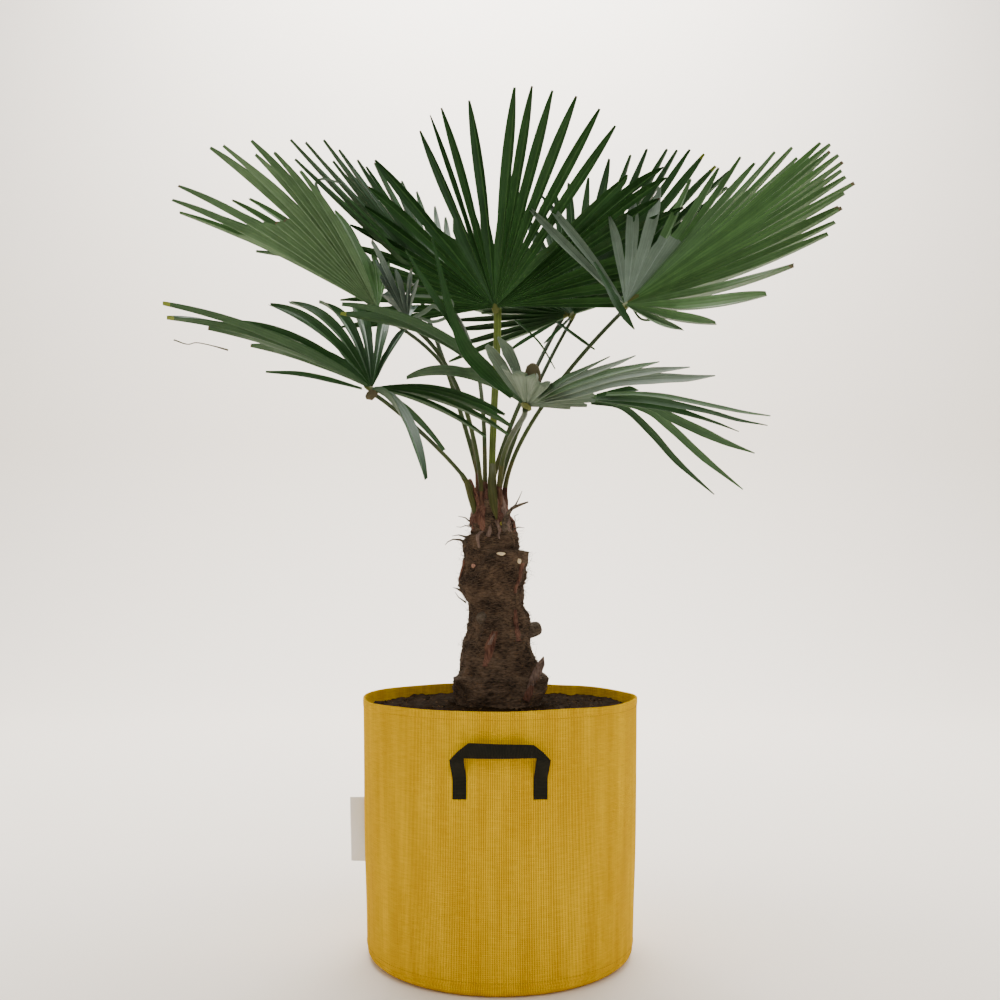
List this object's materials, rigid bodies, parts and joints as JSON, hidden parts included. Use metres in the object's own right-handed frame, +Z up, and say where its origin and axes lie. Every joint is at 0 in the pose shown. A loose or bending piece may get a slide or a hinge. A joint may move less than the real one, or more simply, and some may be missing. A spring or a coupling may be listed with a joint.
{
  "type": "potted windmill palm",
  "caption": "Young fan palm with a tapering fibrous trunk and deeply cut round leaves on slim stalks, growing in a soil-filled round fabric grow bag with webbing handles.",
  "frame": {"origin": "centre of the bag's flat underside, on the surface that it stands on", "axes": "+Z up, -Y towards the front handle, -X towards the side tab"},
  "size_m": [1.1933, 1.4024, 1.6483],
  "materials": {
    "bag_cloth": "yellow ribbed woven cloth",
    "soil": "dark crumbly potting soil",
    "webbing": "black ribbed webbing",
    "tab": "plain white woven tape",
    "bark": "brown fibre matting and old leaf bases",
    "stalk": "smooth green stalk",
    "leaf": "satin dark green leaf"
  },
  "bodies": {
    "root": {"grow_bag": "bag_cloth", "soil": "soil", "handle_front": "webbing", "handle_back": "webbing", "side_tab": "tab", "trunk": "bark", "stalk_01": "stalk", "stalk_02": "stalk", "stalk_03": "stalk", "stalk_04": "stalk", "stalk_05": "stalk", "stalk_06": "stalk", "stalk_07": "stalk", "stalk_08": "stalk", "stalk_09": "stalk", "stalk_10": "stalk", "frond_01": "leaf", "frond_02": "leaf", "frond_03": "leaf", "frond_04": "leaf", "frond_05": "leaf", "frond_06": "leaf", "frond_07": "leaf", "frond_08": "leaf", "frond_09": "leaf", "frond_10": "leaf"}
  },
  "joints": []
}
